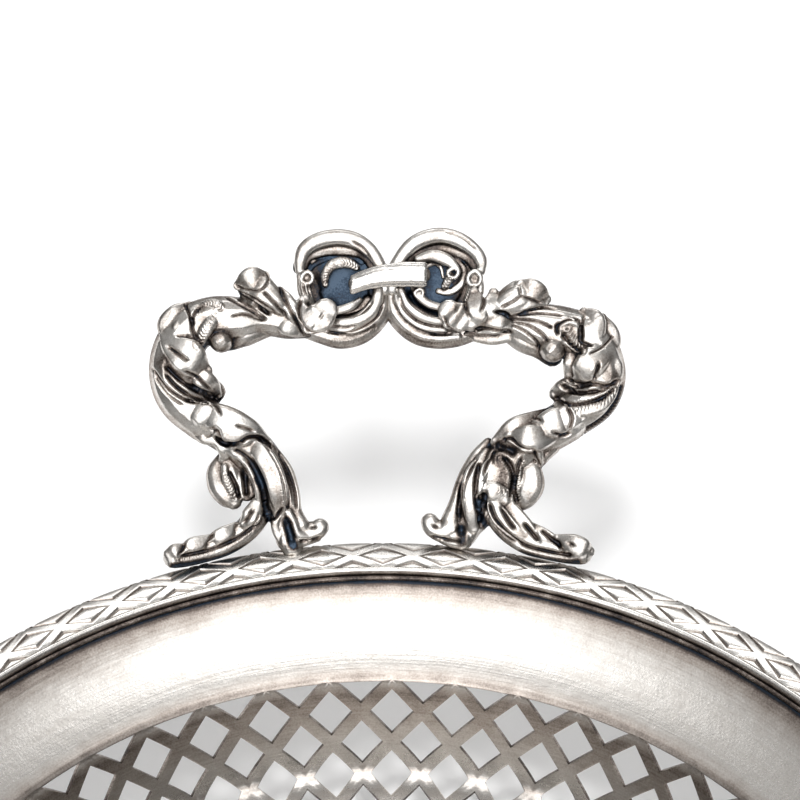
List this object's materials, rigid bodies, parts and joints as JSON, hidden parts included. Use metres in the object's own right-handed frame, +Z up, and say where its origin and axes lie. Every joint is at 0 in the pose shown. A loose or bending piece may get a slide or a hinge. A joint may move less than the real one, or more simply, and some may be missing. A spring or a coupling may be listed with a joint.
{
  "type": "round pierced serving basket",
  "caption": "Round pierced metal serving basket with a crossed-ribbon border, two cast leaf-scroll handles and turned bun feet.",
  "frame": {"origin": "on the table, under the middle of the dish", "axes": "+Z up out of the dish, +Y towards one handle (back) and -Y towards the other (front), +X to the right as seen from -Y"},
  "size_m": [0.276, 0.3814, 0.0916],
  "materials": {
    "sheet_silver": "old silver plate on spun sheet, rubbed to a soft shine with fine turning scratches and brown-grey tarnish under the border",
    "border_silver": "die-struck silver plate, worn bright on the ribbons and dark grey in the recesses",
    "cast_silver": "cast and chased silver plate, worn bright on the high parts with blue-black oxide in the hollows",
    "bright_silver": "polished silver plate with fine wear scratches"
  },
  "bodies": {
    "root": {"pierced_dish": "sheet_silver", "ribbon_border": "border_silver", "thread_wire": "bright_silver", "edge_wire": "border_silver", "foot_front_left": "cast_silver", "foot_front_right": "cast_silver", "foot_back_left": "cast_silver", "foot_back_right": "cast_silver", "front_tie_band": "bright_silver", "back_tie_band": "bright_silver", "front_left_upper_scroll": "cast_silver", "front_right_upper_scroll": "cast_silver", "back_left_upper_scroll": "cast_silver", "back_right_upper_scroll": "cast_silver", "front_left_lower_scroll": "cast_silver", "front_right_lower_scroll": "cast_silver", "back_left_lower_scroll": "cast_silver", "back_right_lower_scroll": "cast_silver", "front_left_arm": "cast_silver", "front_right_arm": "cast_silver", "back_left_arm": "cast_silver", "back_right_arm": "cast_silver", "front_left_leg": "cast_silver", "front_right_leg": "cast_silver", "back_left_leg": "cast_silver", "back_right_leg": "cast_silver"}
  },
  "joints": []
}
